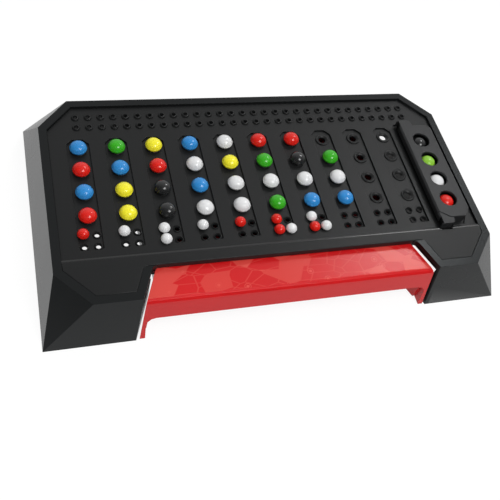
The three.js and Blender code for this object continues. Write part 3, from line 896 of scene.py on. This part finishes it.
front_lug = cover_low.y + lug_inset
back_lug = cover_high.y - lug_inset - lug_length
plate_left = cover_low.x + barrel_head_cut - plate_lap
plate_right = cover_high.x
plate_back = cover_high.y - back_ear
lug_side = hinge_x + lug_radius + lug_gap
skin_right = lug_side + skin_lap
front_notch = front_lug + lug_length + lug_gap
back_notch = back_lug - lug_gap
ear_back = plate_front + ear_shoulder
ear_top = cover_top - front_ear_drop
plate_foot = cover_top - cover_plate
windows = [circle(place.x, place.y, window_radius, window_sides) for place in secret]
plate_plan = rounded([
    (lug_side + ear_cut, plate_front), (plate_right - cover_front_cut[0], plate_front),
    (plate_right, plate_front + cover_front_cut[1]), (plate_right, plate_back - cover_back_cut),
    (plate_right - cover_back_cut, plate_back), (ear_right, plate_back), (ear_right, cover_high.y),
    (lug_side, cover_high.y), (lug_side, back_notch), (plate_left, back_notch), (plate_left, ear_back),
], [nail_round, cover_round, cover_round, cover_round, cover_round, nail_round, ear_round, 0, 0, 0, 0])
shoulder_plan = [
    (plate_left, cover_low.y), (skin_right, cover_low.y), (skin_right, plate_front - skin_lap),
    (skin_right + ear_cut, plate_front + skin_lap), (plate_left, ear_back + skin_lap),
]
back_skin_plan = [
    (plate_left, back_notch - skin_lap), (skin_right, back_notch - skin_lap),
    (skin_right, cover_high.y), (plate_left, cover_high.y),
]
skirt_plan = cover_plan(0, lug_side)
skirt_hole = cover_plan(-cover_skirt, lug_side + lug_gap)
ear_plan = rounded([
    (lug_side, cover_low.y), (ear_right, cover_low.y),
    (ear_right, plate_front + cover_edge), (lug_side, plate_front + cover_edge),
], [0, ear_round, 0, 0])
cover_mesh = join_meshes("hinged_cover", [
    plate_mesh("cover_plate", [plate_plan, *windows], plate_foot, cover_top - plate_drop, cover_edge),
    plate_mesh("cover_ear", [ear_plan], plate_foot, ear_top, cover_edge / 2),
    plate_mesh("cover_skirt", [skirt_plan, skirt_hole], cover_foot, ear_top - cover_edge, skirt_edge),
    plate_mesh("ear_skin", [shoulder_plan], ear_top - skin_thickness, ear_top - plate_drop, skin_edge),
    plate_mesh("back_skin", [back_skin_plan], cover_top - skin_thickness, cover_top, skin_edge),
    bar("barrel_shoulder", barrel_section(ear_top), front_notch, ear_back, bar_edge),
    bar("barrel_middle", barrel_section(cover_top), ear_back, back_notch, middle_bar_edge),
    bar("barrel_front", barrel_section(ear_top), cover_low.y, front_lug - lug_gap, bar_edge),
    bar("barrel_back", barrel_section(cover_top), back_lug + lug_length + lug_gap, cover_high.y, bar_edge),
])
add_piece("hinged_cover", cover_mesh, cover_plastic, "cover", ["code_cover"])


def lug_section():
    """A post with a round head about the hinge's axis."""
    shoulder = -math.acos(lug_post / 2 / lug_radius)
    points = [(hinge_x - lug_post / 2, deck_bottom), (hinge_x + lug_post / 2, deck_bottom)]
    for step in range(lug_steps + 1):
        turn = shoulder + (math.pi - 2 * shoulder) * step / lug_steps
        points.append((hinge_x + lug_radius * math.cos(turn), hinge_z + lug_radius * math.sin(turn)))
    return points


lug_mesh = join_meshes("hinge_lugs", [
    bar("lug_%d" % i, lug_section(), start, start + lug_length, lug_edge)
    for i, start in enumerate((front_lug, back_lug))
])
add_piece("hinge_lugs", lug_mesh, deck_plastic, "console", ["peg_deck"])

# Pegs
# Glossy mouldings with a domed head over a straight shank that stands in a collared hole. Code pegs are the
# large ones and key pegs the small ones.
peg_colours = {
    "blue": (0.030, 0.25, 0.62),
    "red": (0.70, 0.014, 0.008),
    "green": (0.040, 0.41, 0.014),
    "yellow": (0.92, 0.84, 0.030),
    "white": (0.76, 0.765, 0.77),
    "black": (0.015, 0.0155, 0.016),
    "lime": (0.26, 0.56, 0.045),
}
peg_roughness = 0.19
peg_gloss = 0.5
black_peg_gloss = 0.6
peg_grain_height = grain_height / 10
code_shank = (0.00195, 0.0115)
key_shank = (0.00115, 0.009)
tip_round = 0.0005
foot_share = 0.86
underside_share = 0.97
belly_share = 0.34
belly_lift_share = 0.02
brow_share = 0.985
brow_rise_share = 1.12
dome_share = 0.95
belly_steps = 5
dome_steps = 12
peg_sides = 40
peg_smooth = math.radians(60)


def peg_profile(radius, height, shank_radius, shank_length):
    """Half section of a peg from the tip of its shank to the crown of its head."""
    foot = radius * foot_share
    belly = height * belly_share
    dome = radius * dome_share
    profile = [
        (0, -shank_length), (shank_radius - tip_round, -shank_length),
        (shank_radius, tip_round - shank_length), (shank_radius, 0), (foot * underside_share, 0),
    ]
    for step in range(belly_steps + 1):
        turn = math.pi / 2 * step / belly_steps
        rise = belly * (1 - math.cos(turn)) + belly * belly_lift_share
        profile.append((foot + (radius - foot) * math.sin(turn), rise))
    profile.append((radius * brow_share, belly * brow_rise_share))
    for step in range(1, dome_steps):
        turn = math.pi / 2 * step / dome_steps
        profile.append((dome * math.cos(turn), belly + (height - belly) * math.sin(turn)))
    profile.append((0, height))
    return profile


def add_pegs():
    """Puts a peg of the right size and colour in the place of each packed one."""
    plastics = {}
    for colour, mix in peg_colours.items():
        gloss = black_peg_gloss if colour == "black" else peg_gloss
        plastics[colour] = moulded("peg_" + colour, mix, peg_roughness, peg_grain_height, gloss)
    slots = {part["node"]: part["material_slot"] for part in frame["record"]["subparts"]}
    for node in frame["nodes"]:
        if "_peg_" not in node:
            continue
        low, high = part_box(node)
        shank_radius, shank_length = key_shank if node.startswith("key") else code_shank
        centre = (low + high) / 2
        seat = low.z + shank_length
        profile = peg_profile((high.x - low.x) / 2, high.z - seat, shank_radius, shank_length)
        mesh = turned_mesh(node, profile, [(centre.x, centre.y, seat)], peg_sides, False)
        colour = slots[node][len("peg_"):]
        add_piece(colour + "_" + node, mesh, plastics[colour], node, [node], peg_smooth)


add_pegs()
